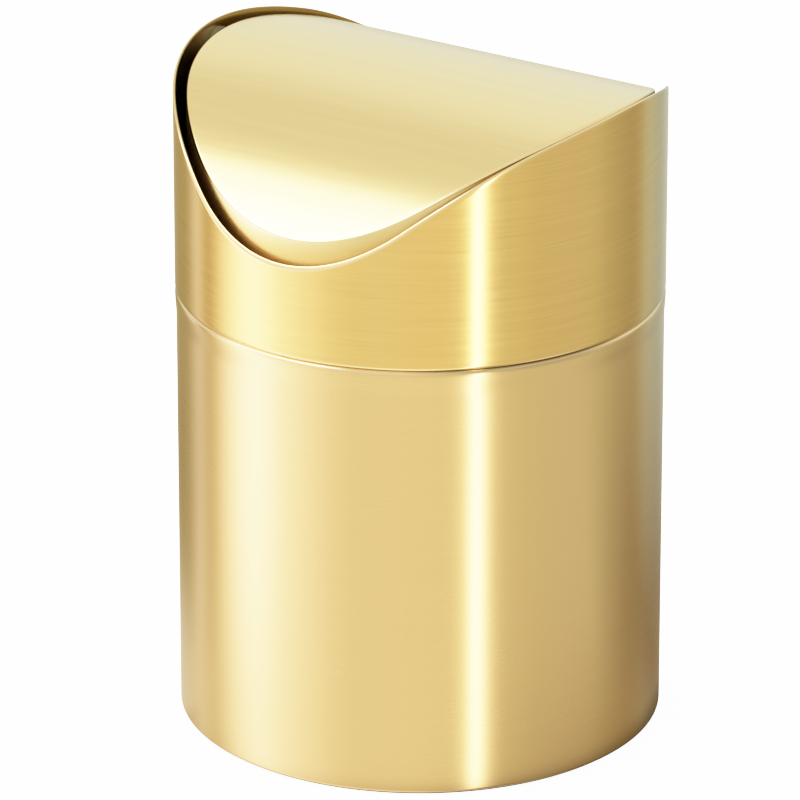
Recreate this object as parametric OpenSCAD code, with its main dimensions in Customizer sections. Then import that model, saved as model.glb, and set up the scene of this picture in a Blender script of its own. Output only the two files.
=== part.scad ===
// Countertop trash can with a swing lid.
// A straight brushed can, a lift-off collar whose rim is cut to a three-arc arch, and an
// arched, skirted lid that swings both ways on two studs inside the collar.
// Millimetres, +Z up, origin on the bench under the middle of the can, pivot axis along X.

/* [Can] */
// Outer diameter of the can wall
can_d = 120; // [90:1:160]
// Height of the joint line between can and collar
seam_h = 111; // [80:0.2:160]
// Sheet thickness of the can
can_t = 0.6; // [0.4:0.1:0.8]
// Outward flare of the wall at the joint line
can_flare = 0.3; // [0:0.1:0.5]
// Height over which the wall flares
can_flare_h = 6; // [3:0.5:12]
// Radius of the rolled-in lip at the mouth
can_lip_r = 1.2; // [0.9:0.1:1.6]
// Width of the rolled-in lip
can_lip_w = 2.2; // [1.8:0.1:3]
// Radius of the wall's bottom corner
can_corner_r = 1; // [0.9:0.1:2]
// Width of the turned-in foot of the wall
can_foot_w = 2.6; // [2.2:0.1:4]

/* [Base] */
// Sheet thickness of the pressed base
base_t = 0.6; // [0.4:0.1:1]
// Height of the raised base panel above its rim
base_rise = 2.6; // [1.5:0.1:5]
// Width of the base's flat rim inside the wall
base_rim_w = 2; // [1.4:0.1:4]
// Height of the base's upturned flange
base_flange_h = 6; // [3:0.5:12]
// Diameter of the raised circle pressed in the panel
base_bead_d = 70; // [30:1:80]
// Height of that circle
base_bead_h = 0.8; // [0.3:0.1:2]
// Width of its sloped edge
base_bead_w = 3; // [1:0.5:6]
// Thickness of the foot ring under the wall
foot_t = 0.6; // [0.5:0.1:2]
// Inset of the foot ring from the wall's outside
foot_inset = 1.4; // [0.4:0.1:1.5]
// Width of the foot ring's sole
foot_w = 7; // [5:0.5:12]
// Thickness of the foot ring's upstand
foot_rib_t = 1.6; // [1:0.1:3]

/* [Collar] */
// How far the collar stands out past the can wall
collar_over = 0.3; // [0.1:0.1:0.8]
// Sheet thickness of the collar
collar_t = 0.7; // [0.4:0.1:0.9]
// Height of the rim's two peaks
peak_h = 168.6; // [140:0.1:220]
// Radius of the arch at its crown
crown_r = 94; // [80:1:160]
// Half angle of the crown arc
crown_angle = 16.7; // [10:0.1:20]
// Radius of the arch at its haunches
haunch_r = 46; // [36:1:60]
// Slope of the straight legs of the rim's arch
rim_leg_angle = 56; // [40:1:58]
// Radius of the collar's turned-in lower edge
collar_lip_r = 1; // [0.9:0.1:1.6]
// Width of the collar's turned-in lower flange
collar_lip_w = 2.4; // [2.2:0.1:3]

/* [Locating ring] */
// Wall of the ring that plugs into the mouth
ring_t = 1.2; // [0.8:0.1:2]
// Depth of the ring below the joint line
ring_drop = 10; // [5:0.5:20]
// Gap between the ring and the can's lip
ring_clear = 0.35; // [0.3:0.05:0.8]
// Thickness of the ring's seating flange
ring_flange_t = 1.2; // [0.8:0.1:2]
// Lead-in chamfer at the ring's lower edge
ring_lead = 0.6; // [0.3:0.1:0.7]

/* [Lid] */
// Gap between the collar's inside and the lid
lid_gap = 2.6; // [2.4:0.1:4]
// How far the lid's crown lies below the peaks
lid_sink = 1.4; // [0.3:0.1:2]
// Sheet thickness of the lid
lid_t = 0.6; // [0.4:0.1:0.8]
// Slope of the straight legs of the lid's arch
lid_leg_angle = 46; // [36:1:48]
// Height of the lid's skirt
lid_skirt_h = 9; // [8.9:0.1:9.4]
// Radius of the shoulder between lid and skirt
lid_shoulder_r = 0.9; // [0.9:0.1:1.2]

/* [Pivot] */
// Depth of the pivot axis below the lid's crown
pivot_drop = 5.2; // [5.1:0.1:5.3]
// Diameter of the studs
stud_d = 4; // [3:0.1:4.2]
// Diameter of the studs' welded heads
stud_head_d = 8; // [6:0.1:9]
// Thickness of the studs' heads
stud_head_t = 0.8; // [0.6:0.1:1.2]
// Stud length past its retaining clip
stud_tip = 1.2; // [0.8:0.1:3]
// Radial running clearance of stud and bush
run_clear = 0.05; // [0.02:0.01:0.1]
// End play between head, bush and clip
end_play = 0.3; // [0.2:0.05:0.5]
// Wall of the bushes
bush_t = 0.8; // [0.6:0.1:1]
// Diameter of the bushes' outer flange
bush_flange_d = 7.6; // [7:0.1:7.6]
// Height of the bushes' snap lip
bush_lip = 0.4; // [0.2:0.1:0.6]
// Length of the bushes' snap lip behind the skirt
bush_lip_l = 1; // [0.6:0.1:2]
// Radial clearance of the bushes in the skirt
bush_fit = 0.05; // [0.02:0.01:0.1]
// Diameter of the retaining clips
clip_d = 7.6; // [6.5:0.1:9]
// Thickness of the retaining clips
clip_t = 0.6; // [0.4:0.1:1]
// Depth of the clips' groove in the studs
clip_groove = 0.4; // [0.2:0.1:0.6]
// Width of the prongs that grip the groove
clip_prong = 1.2; // [0.8:0.1:1.4]
// Width of the clips' open mouth
clip_mouth = 2.6; // [2:0.1:2.8]

/* [Hidden] */
$fn = 96;
eps = 0.01;
// Colours
brass = [0.86, 0.74, 0.45];
dull_brass = [0.76, 0.66, 0.42];
steel = [0.72, 0.73, 0.74];
nylon = [0.90, 0.89, 0.85];
black = [0.12, 0.12, 0.13];
// Can
can_r = can_d / 2;
mouth_r = can_r + can_flare;
lip_in_r = mouth_r - can_lip_w;
wall_in_r = can_r - can_t;
arc_steps = 8;
// Base
base_z = foot_t + can_t;
panel_r = wall_in_r - base_rim_w;
rib_gap = 0.1;
foot_r = can_r - foot_inset;
rib_r = min(panel_r - base_t, can_r - can_foot_w) - rib_gap;
rib_top = base_z + base_rise - rib_gap;
// Collar
collar_r = can_r + collar_over;
collar_in_r = collar_r - collar_t;
flange_in_r = collar_r - collar_lip_w;
cut_margin = 10;
// Locating ring
ring_r = min(lip_in_r - ring_clear, flange_in_r - rib_gap);
ring_seat_z = seam_h + collar_t;
ring_flange_r = collar_r - collar_lip_r;
// Lid
lid_r = collar_in_r - lid_gap;
lid_top = peak_h - lid_sink;
lid_sides = 72;
lid_rings = 7;
lid_shoulder_steps = 3;
// Pivot, measured outwards along X
pivot_z = lid_top - pivot_drop;
stud_r = stud_d / 2;
bore_r = stud_r + run_clear;
bush_r = bore_r + bush_t;
hole_r = bush_r + bush_fit;
head_x = collar_in_r - stud_head_t;
bush_out_x = head_x - end_play;
bush_in_x = lid_r - lid_t - bush_lip_l;
clip_x = bush_in_x - end_play;
tip_x = clip_x - clip_t - stud_tip;
groove_r = stud_r - clip_groove;
groove_play = 0.05;
tip_chamfer = 0.4;

// Points of an arc about c from angle a0 to a1
function arc(c, r, a0, a1, n = arc_steps) =
    [for (i = [0 : n]) let (a = a0 + (a1 - a0) * i / n) [c[0] + r * cos(a), c[1] + r * sin(a)]];

// Depth below its crown of a three-arc arch at distance v from the pivot axis:
// a crown arc, a haunch arc tangent to it and a straight leg, all moved inwards by inset
function arch_drop(v, leg, inset = 0) =
    let (rc = crown_r - inset, rh = haunch_r - inset, u = abs(v),
         v1 = rc * sin(crown_angle), d1 = rc * (1 - cos(crown_angle)),
         v2 = v1 + rh * (sin(leg) - sin(crown_angle)),
         d2 = d1 + rh * (cos(crown_angle) - cos(leg)))
    inset + (u < v1 ? rc - sqrt(rc * rc - u * u)
           : u < v2 ? d1 + rh * cos(crown_angle) - sqrt(rh * rh - pow(u - v1 + rh * sin(crown_angle), 2))
           : d2 + (u - v2) * tan(leg));

// Slope of the same arch at v, in degrees below horizontal
function arch_slope(v, leg, inset = 0) =
    let (rc = crown_r - inset, rh = haunch_r - inset, u = abs(v), v1 = rc * sin(crown_angle),
         v2 = v1 + rh * (sin(leg) - sin(crown_angle)))
    u < v1 ? asin(u / rc) : u < v2 ? asin((u - v1 + rh * sin(crown_angle)) / rh) : leg;

// One side of the arch as points, from the crown out to half width w
function arch_half(top, leg, w) =
    let (v1 = crown_r * sin(crown_angle), h0 = top - crown_r,
         h1 = h0 + (crown_r - haunch_r) * cos(crown_angle),
         vh = (crown_r - haunch_r) * sin(crown_angle))
    concat(arc([0, h0], crown_r, 90, 90 - crown_angle),
           [for (p = arc([vh, h1], haunch_r, 90 - crown_angle, 90 - leg)) if (p[0] > v1 + eps) p],
           [[w, top - arch_drop(w, leg)]]);

// Everything above the rim's arch, as a prism along the pivot axis
module above_rim() {
    w = collar_r + cut_margin;
    side = arch_half(peak_h, rim_leg_angle, w);
    n = len(side);
    roof = peak_h + cut_margin;
    rotate([90, 0, 90])
        linear_extrude(2 * w, center = true)
            polygon(concat([[-w, roof]], [for (i = [n - 1 : -1 : 1]) [-side[i][0], side[i][1]]],
                           side, [[w, roof]]));
}

// A thin wall that turns in at the bottom: outer radius, bottom, corner, turn-in width, sheet
function turned_foot(r, z, c, w, t) = concat([[r - w, z]], arc([r - c, z + c], c, -90, 0));
function turned_foot_in(r, z, c, w, t) = concat(arc([r - c, z + c], c - t, 0, -90), [[r - w, z + t]]);

module can_wall() {
    // The wall's flare is a half wave that ends just under the lip
    flare_top = seam_h - can_lip_r;
    flare = [for (i = [0 : arc_steps]) [can_r + can_flare * (1 - cos(180 * i / arc_steps)) / 2,
                                        flare_top - can_flare_h * (1 - i / arc_steps)]];
    lip = [mouth_r - can_lip_r, flare_top];
    color(brass) rotate_extrude()
        polygon(concat(turned_foot(can_r, foot_t, can_corner_r, can_foot_w, can_t),
                       flare,
                       [for (p = arc(lip, can_lip_r, 0, 90)) if (p[1] > flare_top + eps) p],
                       [[lip_in_r, seam_h], [lip_in_r, seam_h - can_t]],
                       arc(lip, can_lip_r - can_t, 90, 0),
                       [for (i = [arc_steps - 1 : -1 : 0]) flare[i] - [can_t, 0]],
                       turned_foot_in(can_r, foot_t, can_corner_r, can_foot_w, can_t)));
}

module can_base() {
    // Pressed dish: upturned flange, flat rim on the wall's foot, raised panel, pressed circle
    z1 = base_z;
    z2 = base_z + base_rise;
    z3 = z2 + base_bead_h;
    bead_r = base_bead_d / 2;
    flange_r = can_corner_r - can_t + base_t;
    color(dull_brass) rotate_extrude()
        polygon(concat([[0, z3], [bead_r, z3], [bead_r + base_bead_w, z2], [panel_r - base_t, z2],
                        [panel_r - base_t, z1]],
                       arc([wall_in_r - flange_r, z1 + flange_r], flange_r, -90, 0),
                       [[wall_in_r, z1 + base_flange_h], [wall_in_r - base_t, z1 + base_flange_h],
                        [wall_in_r - base_t, z1 + base_t], [panel_r, z1 + base_t],
                        [panel_r, z2 + base_t], [bead_r + base_bead_w, z2 + base_t],
                        [bead_r, z3 + base_t], [0, z3 + base_t]]));
}

module foot_ring() {
    // Soft sole under the wall's foot, held by an upstand in the recess under the base
    color(black) rotate_extrude()
        polygon([[foot_r - foot_w, 0], [foot_r, 0], [foot_r, foot_t], [rib_r, foot_t],
                 [rib_r, rib_top], [rib_r - foot_rib_t, rib_top], [rib_r - foot_rib_t, foot_t],
                 [foot_r - foot_w, foot_t]]);
}

module collar_shell() {
    tall = peak_h + cut_margin / 2;
    color(brass) difference() {
        rotate_extrude()
            polygon(concat(turned_foot(collar_r, seam_h, collar_lip_r, collar_lip_w, collar_t),
                           [[collar_r, tall], [collar_in_r, tall]],
                           turned_foot_in(collar_r, seam_h, collar_lip_r, collar_lip_w, collar_t)));
        above_rim();
    }
}

module collar_ring() {
    // Plug ring: its flange lies on the collar's turned-in edge, its barrel enters the mouth
    low = seam_h - ring_drop;
    top = ring_seat_z + ring_flange_t;
    color(black) rotate_extrude()
        polygon([[ring_r - ring_t, low], [ring_r - ring_lead, low], [ring_r, low + ring_lead],
                 [ring_r, ring_seat_z], [ring_flange_r, ring_seat_z], [ring_flange_r, top],
                 [ring_r - ring_t, top]]);
}

// One ring of lid points: radius, and height, at every side; kind 0 = on the arch,
// 1 = on the shoulder, 2 = at the skirt's lower edge
function lid_point(a, kind, s, inset) =
    let (r = lid_r - inset, c = lid_shoulder_r - inset, y = r * sin(a),
         tilt = atan(tan(arch_slope(y, lid_leg_angle, inset)) * abs(sin(a))),
         edge = lid_top - arch_drop(y, lid_leg_angle, inset),
         rt = r - c + c * sin(tilt), g = (90 - tilt) * (1 - s),
         q = kind == 0 ? [rt * s, lid_top - arch_drop(rt * s * sin(a), lid_leg_angle, inset)]
           : kind == 1 ? [r - c + c * cos(g), edge - c * (1 - sin(tilt)) / cos(tilt) + c * sin(g)]
           : [r, lid_top - arch_drop(lid_r * sin(a), lid_leg_angle) - lid_skirt_h])
    [q[0] * cos(a), q[0] * sin(a), q[1]];

function lid_ring(kind, s, inset) =
    [for (i = [0 : lid_sides - 1]) lid_point(360 * i / lid_sides, kind, s, inset)];

module lid_shell() {
    outer = concat([for (j = [1 : lid_rings]) lid_ring(0, j / lid_rings, 0)],
                   [for (j = [1 : lid_shoulder_steps]) lid_ring(1, j / lid_shoulder_steps, 0)],
                   [lid_ring(2, 0, 0)]);
    inner = concat([lid_ring(2, 0, lid_t)],
                   [for (j = [lid_shoulder_steps : -1 : 1]) lid_ring(1, j / lid_shoulder_steps, lid_t)],
                   [for (j = [lid_rings : -1 : 1]) lid_ring(0, j / lid_rings, lid_t)]);
    rings = concat(outer, inner);
    m = len(rings);
    points = concat([for (r = rings) each r], [[0, 0, lid_top], [0, 0, lid_top - lid_t]]);
    crown = m * lid_sides;
    faces = concat(
        [for (i = [0 : lid_sides - 1]) [crown, (i + 1) % lid_sides, i]],
        [for (j = [0 : m - 2], i = [0 : lid_sides - 1])
            let (k = (i + 1) % lid_sides, a = j * lid_sides, b = a + lid_sides)
            each [[a + i, a + k, b + k], [a + i, b + k, b + i]]],
        [for (i = [0 : lid_sides - 1]) [crown + 1, (m - 1) * lid_sides + i,
                                        (m - 1) * lid_sides + (i + 1) % lid_sides]]);
    polyhedron(points, faces, convexity = 6);
}

// A bar along the pivot axis from x0 out to x1
module bar(r, x0, x1) {
    translate([x0, 0, pivot_z]) rotate([0, 90, 0]) cylinder(r = r, h = x1 - x0);
}

// An upright cylinder through the whole height of the pivot, fine enough to seat small faces on
module upright(r) {
    translate([0, 0, lid_top - 2 * lid_skirt_h]) cylinder(r = r, h = 3 * lid_skirt_h, $fn = 5 * $fn);
}

module swing_lid() {
    color(brass) difference() {
        lid_shell();
        bar(hole_r, -collar_r, collar_r);
    }
}

module stud() {
    // Headed stud, welded by its head to the collar's inner wall, grooved for its clip
    color(steel) {
        difference() {
            union() {
                intersection() {
                    bar(stud_head_d / 2, head_x, collar_r);
                    upright(collar_in_r);
                }
                bar(stud_r, tip_x + tip_chamfer, head_x + eps);
                translate([tip_x, 0, pivot_z]) rotate([0, 90, 0])
                    cylinder(r1 = stud_r - tip_chamfer, r2 = stud_r, h = tip_chamfer + eps);
            }
            difference() {
                bar(stud_r + 1, clip_x - clip_t - groove_play, clip_x + groove_play);
                bar(groove_r, clip_x - 2 * clip_t, clip_x + 2 * clip_t);
            }
        }
    }
}

module bush() {
    // Flanged bush snapped into the skirt: the flange takes the gap to the collar
    color(nylon) difference() {
        union() {
            difference() {
                bar(bush_flange_d / 2, lid_r - lid_t, bush_out_x);
                upright(lid_r);
            }
            bar(bush_r, bush_in_x, bush_out_x - eps);
            intersection() {
                bar(bush_r + bush_lip, bush_in_x, lid_r);
                upright(lid_r - lid_t - rib_gap);
            }
        }
        bar(bore_r, bush_in_x - 1, bush_out_x + 1);
    }
}

module clip() {
    // E-shaped clip: three prongs reach into the groove, the mouth faces down
    color(steel) translate([clip_x, 0, pivot_z]) rotate([0, -90, 0]) linear_extrude(clip_t)
        difference() {
            circle(d = clip_d);
            circle(r = groove_r + groove_play);
            translate([-clip_d, -clip_mouth / 2]) square([clip_d, clip_mouth]);
            difference() {
                circle(r = bore_r);
                for (a = [0, 120, 240])
                    rotate(a) translate([0, -clip_prong / 2]) square([clip_d, clip_prong]);
            }
        }
}

module left() { mirror([1, 0, 0]) children(); }

can_wall();
can_base();
foot_ring();
collar_shell();
collar_ring();
swing_lid();
left() stud();  // stud_left
stud();  // stud_right
left() bush();  // bush_left
bush();  // bush_right
left() clip();  // clip_left
clip();  // clip_right
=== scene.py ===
import math

import bmesh
import bpy
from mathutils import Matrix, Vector


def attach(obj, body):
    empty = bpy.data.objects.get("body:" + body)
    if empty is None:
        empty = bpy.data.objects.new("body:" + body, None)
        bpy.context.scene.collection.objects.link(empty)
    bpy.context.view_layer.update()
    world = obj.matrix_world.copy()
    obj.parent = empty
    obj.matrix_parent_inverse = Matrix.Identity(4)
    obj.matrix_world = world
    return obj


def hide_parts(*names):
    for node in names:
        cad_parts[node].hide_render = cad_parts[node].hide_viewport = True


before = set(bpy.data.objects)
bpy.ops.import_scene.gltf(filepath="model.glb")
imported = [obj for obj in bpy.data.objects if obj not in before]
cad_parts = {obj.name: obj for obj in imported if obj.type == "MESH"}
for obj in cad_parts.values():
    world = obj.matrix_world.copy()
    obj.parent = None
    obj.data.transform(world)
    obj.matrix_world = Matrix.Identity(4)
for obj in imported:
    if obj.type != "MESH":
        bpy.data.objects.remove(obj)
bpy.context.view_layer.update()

MM = 0.001

# ---------------------------------------------------------------- sizes, in millimetres
# Can wall: rolled in at the mouth (lip) and at the foot (corner)
CAN_R, SEAM_H, CAN_T = 60.0, 111.0, 0.6
FLARE, FLARE_H = 0.3, 6.0
CAN_LIP_R, CAN_LIP_W = 1.2, 2.2
CAN_CORNER_R, CAN_FOOT_W = 1.0, 2.6
# Base, with its raised panel and bead, and the foot ring under it
BASE_T, BASE_RISE, BASE_RIM_W, BASE_FLANGE_H = 0.6, 2.6, 2.0, 6.0
BEAD_R, BEAD_H, BEAD_W = 35.0, 0.8, 3.0
FOOT_T, FOOT_INSET, FOOT_W, FOOT_RIB_T = 0.6, 1.4, 7.0, 1.6
# Collar, and the arch of its rim and of the lid: a crown, two haunches and straight legs
COLLAR_T, COLLAR_STEP, PEAK_H = 0.7, 0.3, 168.6
COLLAR_LIP_R, COLLAR_LIP_W = 1.0, 2.4
CROWN_R, CROWN_ANGLE, HAUNCH_R = 94.0, 16.7, 46.0
RIM_LEG, LID_LEG = 56.0, 46.0
LEG_CURL = 0.012  # rise in slope of the lid's legs, per millimetre
# Locating ring, lid and pivots
RING_T, RING_DROP, RING_CLEAR, RING_FLANGE_T, RING_LEAD = 1.2, 10.0, 0.35, 1.2, 0.6
LID_GAP, LID_SINK, LID_T, LID_SKIRT_H, LID_SHOULDER_R = 2.6, 1.4, 0.6, 9.0, 0.9
PIVOT_DROP, BUSH_BORE = 5.2, 2.9
RIB_GAP = 0.1
# Eased edges that only the looks have
HEM_EASE, RIM_EASE, BASE_EASE, FOOT_EASE, RING_EASE = 0.12, 0.34, 0.45, 0.25, 0.2

MOUTH_R = CAN_R + FLARE
COLLAR_R = CAN_R + COLLAR_STEP
COLLAR_IN_R = COLLAR_R - COLLAR_T
LID_R = COLLAR_IN_R - LID_GAP
LID_TOP = PEAK_H - LID_SINK
PIVOT_Z = LID_TOP - PIVOT_DROP
WALL_IN_R = CAN_R - CAN_T
BASE_Z = FOOT_T + CAN_T
PANEL_R = WALL_IN_R - BASE_RIM_W
RING_R = min(MOUTH_R - CAN_LIP_W - RING_CLEAR, COLLAR_R - COLLAR_LIP_W - RIB_GAP)

# Facets round each piece
SIDES, LID_SIDES, RING_SIDES, FOOT_SIDES, BASE_SIDES, BORE_SIDES = 720, 600, 360, 300, 240, 64
# Rows along a profile: on the can's straight wall and its flare, on the collar and round its rim,
# on the lid's top, and on each of its shoulder and skirt
CAN_STEPS, FLARE_STEPS, COLLAR_STEPS, RIM_STEPS, LID_STEPS, SKIRT_STEPS = 12, 18, 40, 5, 44, 8
SHARP = math.radians(32)  # edges that turn more than this stay crisp
NEARLY_STRAIGHT = math.radians(168)  # corners wider than this aren't eased
MOST_OF_SIDE = 0.45  # share of a side that an eased corner may use
SEAM_REACH = 0.000002  # points of a seam this near to each other become one, in metres

# How much shade is painted on the inner faces and how far edges are rubbed smooth, from 0 to 1
WALL_PAINTED_SHADE, COLLAR_PAINTED_SHADE, RIM_PAINTED_SHADE = 0.65, 1.0, 0.8
FOOT_POLISH, RIM_POLISH, SHOULDER_POLISH, HEM_POLISH = 0.45, 0.62, 0.5, 0.6
FOOT_FADE, MOUTH_FADE = 2.4, 1.7  # millimetres over which a rolled edge's polish falls by 1


# ---------------------------------------------------------------- node trees as expressions
class Number:
    """A number socket of a shader or geometry tree that takes part in Python sums."""

    def __init__(self, tree, socket):
        self.tree, self.socket = tree, socket

    def math(self, operation, *others):
        made = self.tree.node("ShaderNodeMath", {"operation": operation},
                              dict(enumerate((self, *others))))
        return Number(self.tree, made.outputs[0])

    def flipped(self, operation, other):
        made = self.tree.node("ShaderNodeMath", {"operation": operation}, {0: other, 1: self})
        return Number(self.tree, made.outputs[0])

    def __add__(self, other): return self.math("ADD", other)
    def __radd__(self, other): return self.flipped("ADD", other)
    def __sub__(self, other): return self.math("SUBTRACT", other)
    def __rsub__(self, other): return self.flipped("SUBTRACT", other)
    def __mul__(self, other): return self.math("MULTIPLY", other)
    def __rmul__(self, other): return self.flipped("MULTIPLY", other)
    def __truediv__(self, other): return self.math("DIVIDE", other)
    def __rtruediv__(self, other): return self.flipped("DIVIDE", other)
    def __pow__(self, other): return self.math("POWER", other)
    def __lt__(self, other): return self.math("LESS_THAN", other)
    def __gt__(self, other): return self.math("GREATER_THAN", other)
    def __abs__(self): return self.math("ABSOLUTE")

    def sin(self): return self.math("SINE")
    def cos(self): return self.math("COSINE")
    def tan(self): return self.math("TANGENT")
    def asin(self): return self.math("ARCSINE")
    def atan(self): return self.math("ARCTANGENT")
    def sqrt(self): return self.math("SQRT")
    def clamped(self): return self.math("MINIMUM", 1.0).math("MAXIMUM", 0.0)

    def fade(self, start, width):
        """0 up to start, then rising to 1 over the width. A negative width falls away below it."""
        return ((self - start) / width).clamped()


class Tree:
    """A node tree with one method that makes any node: its settings first, then its sockets."""

    def __init__(self, tree):
        self.tree = tree

    def join(self, value, socket):
        if isinstance(value, Number):
            value = value.socket
        if isinstance(value, bpy.types.NodeSocket):
            self.tree.links.new(value, socket)
        else:
            socket.default_value = value

    def node(self, kind, settings=None, values=None):
        made = self.tree.nodes.new(kind)
        for name, value in (settings or {}).items():
            if name == "stops":
                ramp = made.color_ramp
                while len(ramp.elements) < len(value):
                    ramp.elements.new(0.5)
                for stop, (place, colour) in zip(ramp.elements, value):
                    stop.position = place
                    stop.color = (*colour, 1)
            elif name == "interpolation":
                made.color_ramp.interpolation = value
            else:
                setattr(made, name, value)
        for key, value in (values or {}).items():
            self.join(value, made.inputs[key])
        return made

    def number(self, *args, out=0):
        """The node's output as a number."""
        return Number(self, self.node(*args).outputs[out])

    def split(self, vector):
        made = self.node("ShaderNodeSeparateXYZ", None, {0: vector})
        return [Number(self, made.outputs[i]) for i in range(3)]

    def own_coords(self):
        """The piece's own Object coordinates, which patterns sit on."""
        return self.node("ShaderNodeTexCoord").outputs["Object"]

    def grey(self, level):
        """A colour of one level in red, green and blue."""
        return self.node("ShaderNodeCombineXYZ", None, {0: level, 1: level, 2: level}).outputs[0]

    def blend(self, share, a, b, how="MIX"):
        """Mixes two colours."""
        made = self.node("ShaderNodeMix", {"data_type": "RGBA", "blend_type": how},
                         {0: share, 6: a, 7: b})
        return made.outputs[2]

    def toned(self, colour, tone):
        """The colour made lighter or darker by a number round 1."""
        return self.blend(1.0, colour, self.grey(tone), "MULTIPLY")

    def bump(self, strength, distance, height, **more):
        return self.node("ShaderNodeBump", None, {"Strength": strength, "Distance": distance,
                                                  "Height": height, **more}).outputs[0]


# ---------------------------------------------------------------- geometry trees
def new_geometry_tree(name, inputs):
    """An empty geometry tree with named inputs: name, socket type, start value."""
    group = bpy.data.node_groups.new(name, "GeometryNodeTree")
    group.interface.new_socket("Geometry", in_out="INPUT", socket_type="NodeSocketGeometry")
    for label, kind, value in inputs:
        made = group.interface.new_socket(label, in_out="INPUT", socket_type=kind)
        if value is not None:
            made.default_value = value
    group.interface.new_socket("Geometry", in_out="OUTPUT", socket_type="NodeSocketGeometry")
    tree = Tree(group)
    given = tree.node("NodeGroupInput")
    sockets = {label: Number(tree, given.outputs[label]) for label, _, _ in inputs}
    return group, tree, given.outputs["Geometry"], sockets


def arch(tree, across, crown_r, crown_angle, haunch_r, leg, curl=0.0, inset=0.0):
    """Drop and slope of the arch at a distance across from the pivot axis: a crown, a haunch and
    a leg, which may curl. The inset gives the arch of an inner face."""
    u = abs(across)
    rc, rh = crown_r - inset, haunch_r - inset
    v1, d1 = rc * crown_angle.sin(), rc * (1 - crown_angle.cos())
    reach = u - v1 + rh * crown_angle.sin()
    v2 = v1 + rh * (leg.sin() - crown_angle.sin())
    d2 = d1 + rh * (crown_angle.cos() - leg.cos())
    on_crown, on_leg = u < v1, u > v2
    on_haunch = 1 - on_crown - on_leg
    drop = (on_crown * (rc - (rc * rc - u * u).sqrt())
            + on_haunch * (d1 + rh * crown_angle.cos() - (rh * rh - reach * reach).sqrt())
            + on_leg * (d2 + (u - v2) * (leg.tan() + (u - v2) * curl * 0.5))) + inset
    slope = (on_crown * (u / rc).asin() + on_haunch * (reach / rh).asin()
             + on_leg * (leg.tan() + (u - v2) * curl).atan())
    return drop, slope


def grid_of_rows(tree, rows, sides):
    """A sheet with one row for each point of the row mesh and sides + 1 columns.
    Gives the sheet, each point's turn about Z and the row values that it reads."""
    points = tree.number("GeometryNodeAttributeDomainSize", {"component": "MESH"}, {0: rows},
                         out="Point Count")
    grid = tree.node("GeometryNodeMeshGrid", None,
                     {"Size X": 1.0, "Size Y": 1.0, "Vertices X": sides + 1, "Vertices Y": points})
    x, y, _ = tree.split(tree.node("GeometryNodeInputPosition").outputs[0])
    turn = (x + 0.5) * math.tau
    row = ((y + 0.5) * (points - 1)).math("ROUND")

    def read(value, kind):
        found = tree.node("GeometryNodeSampleIndex", {"data_type": kind, "domain": "POINT"},
                          {"Geometry": rows, "Index": row})
        tree.join(value, found.inputs["Value"])
        return found.outputs[0]

    place = read(tree.node("GeometryNodeInputPosition").outputs[0], "FLOAT_VECTOR")
    sheet = grid.outputs["Mesh"]
    for name in ("inside", "polish"):
        own = tree.node("GeometryNodeInputNamedAttribute", {"data_type": "FLOAT"}, {"Name": name})
        stored = tree.node("GeometryNodeStoreNamedAttribute",
                           {"data_type": "FLOAT", "domain": "POINT"},
                           {"Geometry": sheet, "Name": name})
        tree.join(read(own.outputs[0], "FLOAT"), stored.inputs["Value"])
        sheet = stored.outputs[0]
    return sheet, turn, tree.split(place)


def finish_tree(tree, sheet, place, material):
    """Moves the sheet into place, closes its seams and gives it its shading and material."""
    moved = tree.node("GeometryNodeSetPosition", None, {"Geometry": sheet, "Position": place})
    closed = tree.node("GeometryNodeMergeByDistance", None,
                       {"Geometry": moved.outputs[0], "Distance": SEAM_REACH})
    angle = tree.number("GeometryNodeInputMeshEdgeAngle")
    soft = tree.node("GeometryNodeSetShadeSmooth", {"domain": "FACE"},
                     {"Geometry": closed.outputs[0], "Shade Smooth": True})
    crisp = tree.node("GeometryNodeSetShadeSmooth", {"domain": "EDGE"},
                      {"Geometry": soft.outputs[0], "Selection": angle > SHARP,
                       "Shade Smooth": False})
    real = tree.node("GeometryNodeRealizeInstances", None, {"Geometry": crisp.outputs[0]})
    dressed = tree.node("GeometryNodeSetMaterial", None,
                        {"Geometry": real.outputs[0], "Material": material})
    tree.node("NodeGroupOutput", None, {0: dressed.outputs[0]})


def turned_sheet_tree():
    """A wall turned about Z. A row's point holds radius, share of the arch, and height."""
    group, tree, rows, given = new_geometry_tree("turned_sheet", [
        ("Sides", "NodeSocketInt", SIDES), ("Crown radius", "NodeSocketFloat", CROWN_R * MM),
        ("Crown angle", "NodeSocketFloat", math.radians(CROWN_ANGLE)),
        ("Haunch radius", "NodeSocketFloat", HAUNCH_R * MM),
        ("Leg angle", "NodeSocketFloat", math.radians(RIM_LEG)),
        ("Material", "NodeSocketMaterial", None)])
    sheet, turn, (radius, share, height) = grid_of_rows(tree, rows, given["Sides"])
    across = radius * turn.sin()
    drop, _ = arch(tree, across, given["Crown radius"], given["Crown angle"],
                   given["Haunch radius"], given["Leg angle"])
    place = tree.node("ShaderNodeCombineXYZ", None,
                      {0: radius * turn.cos(), 1: across, 2: height - share * drop})
    finish_tree(tree, sheet, place.outputs[0], given["Material"])
    return group


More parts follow.
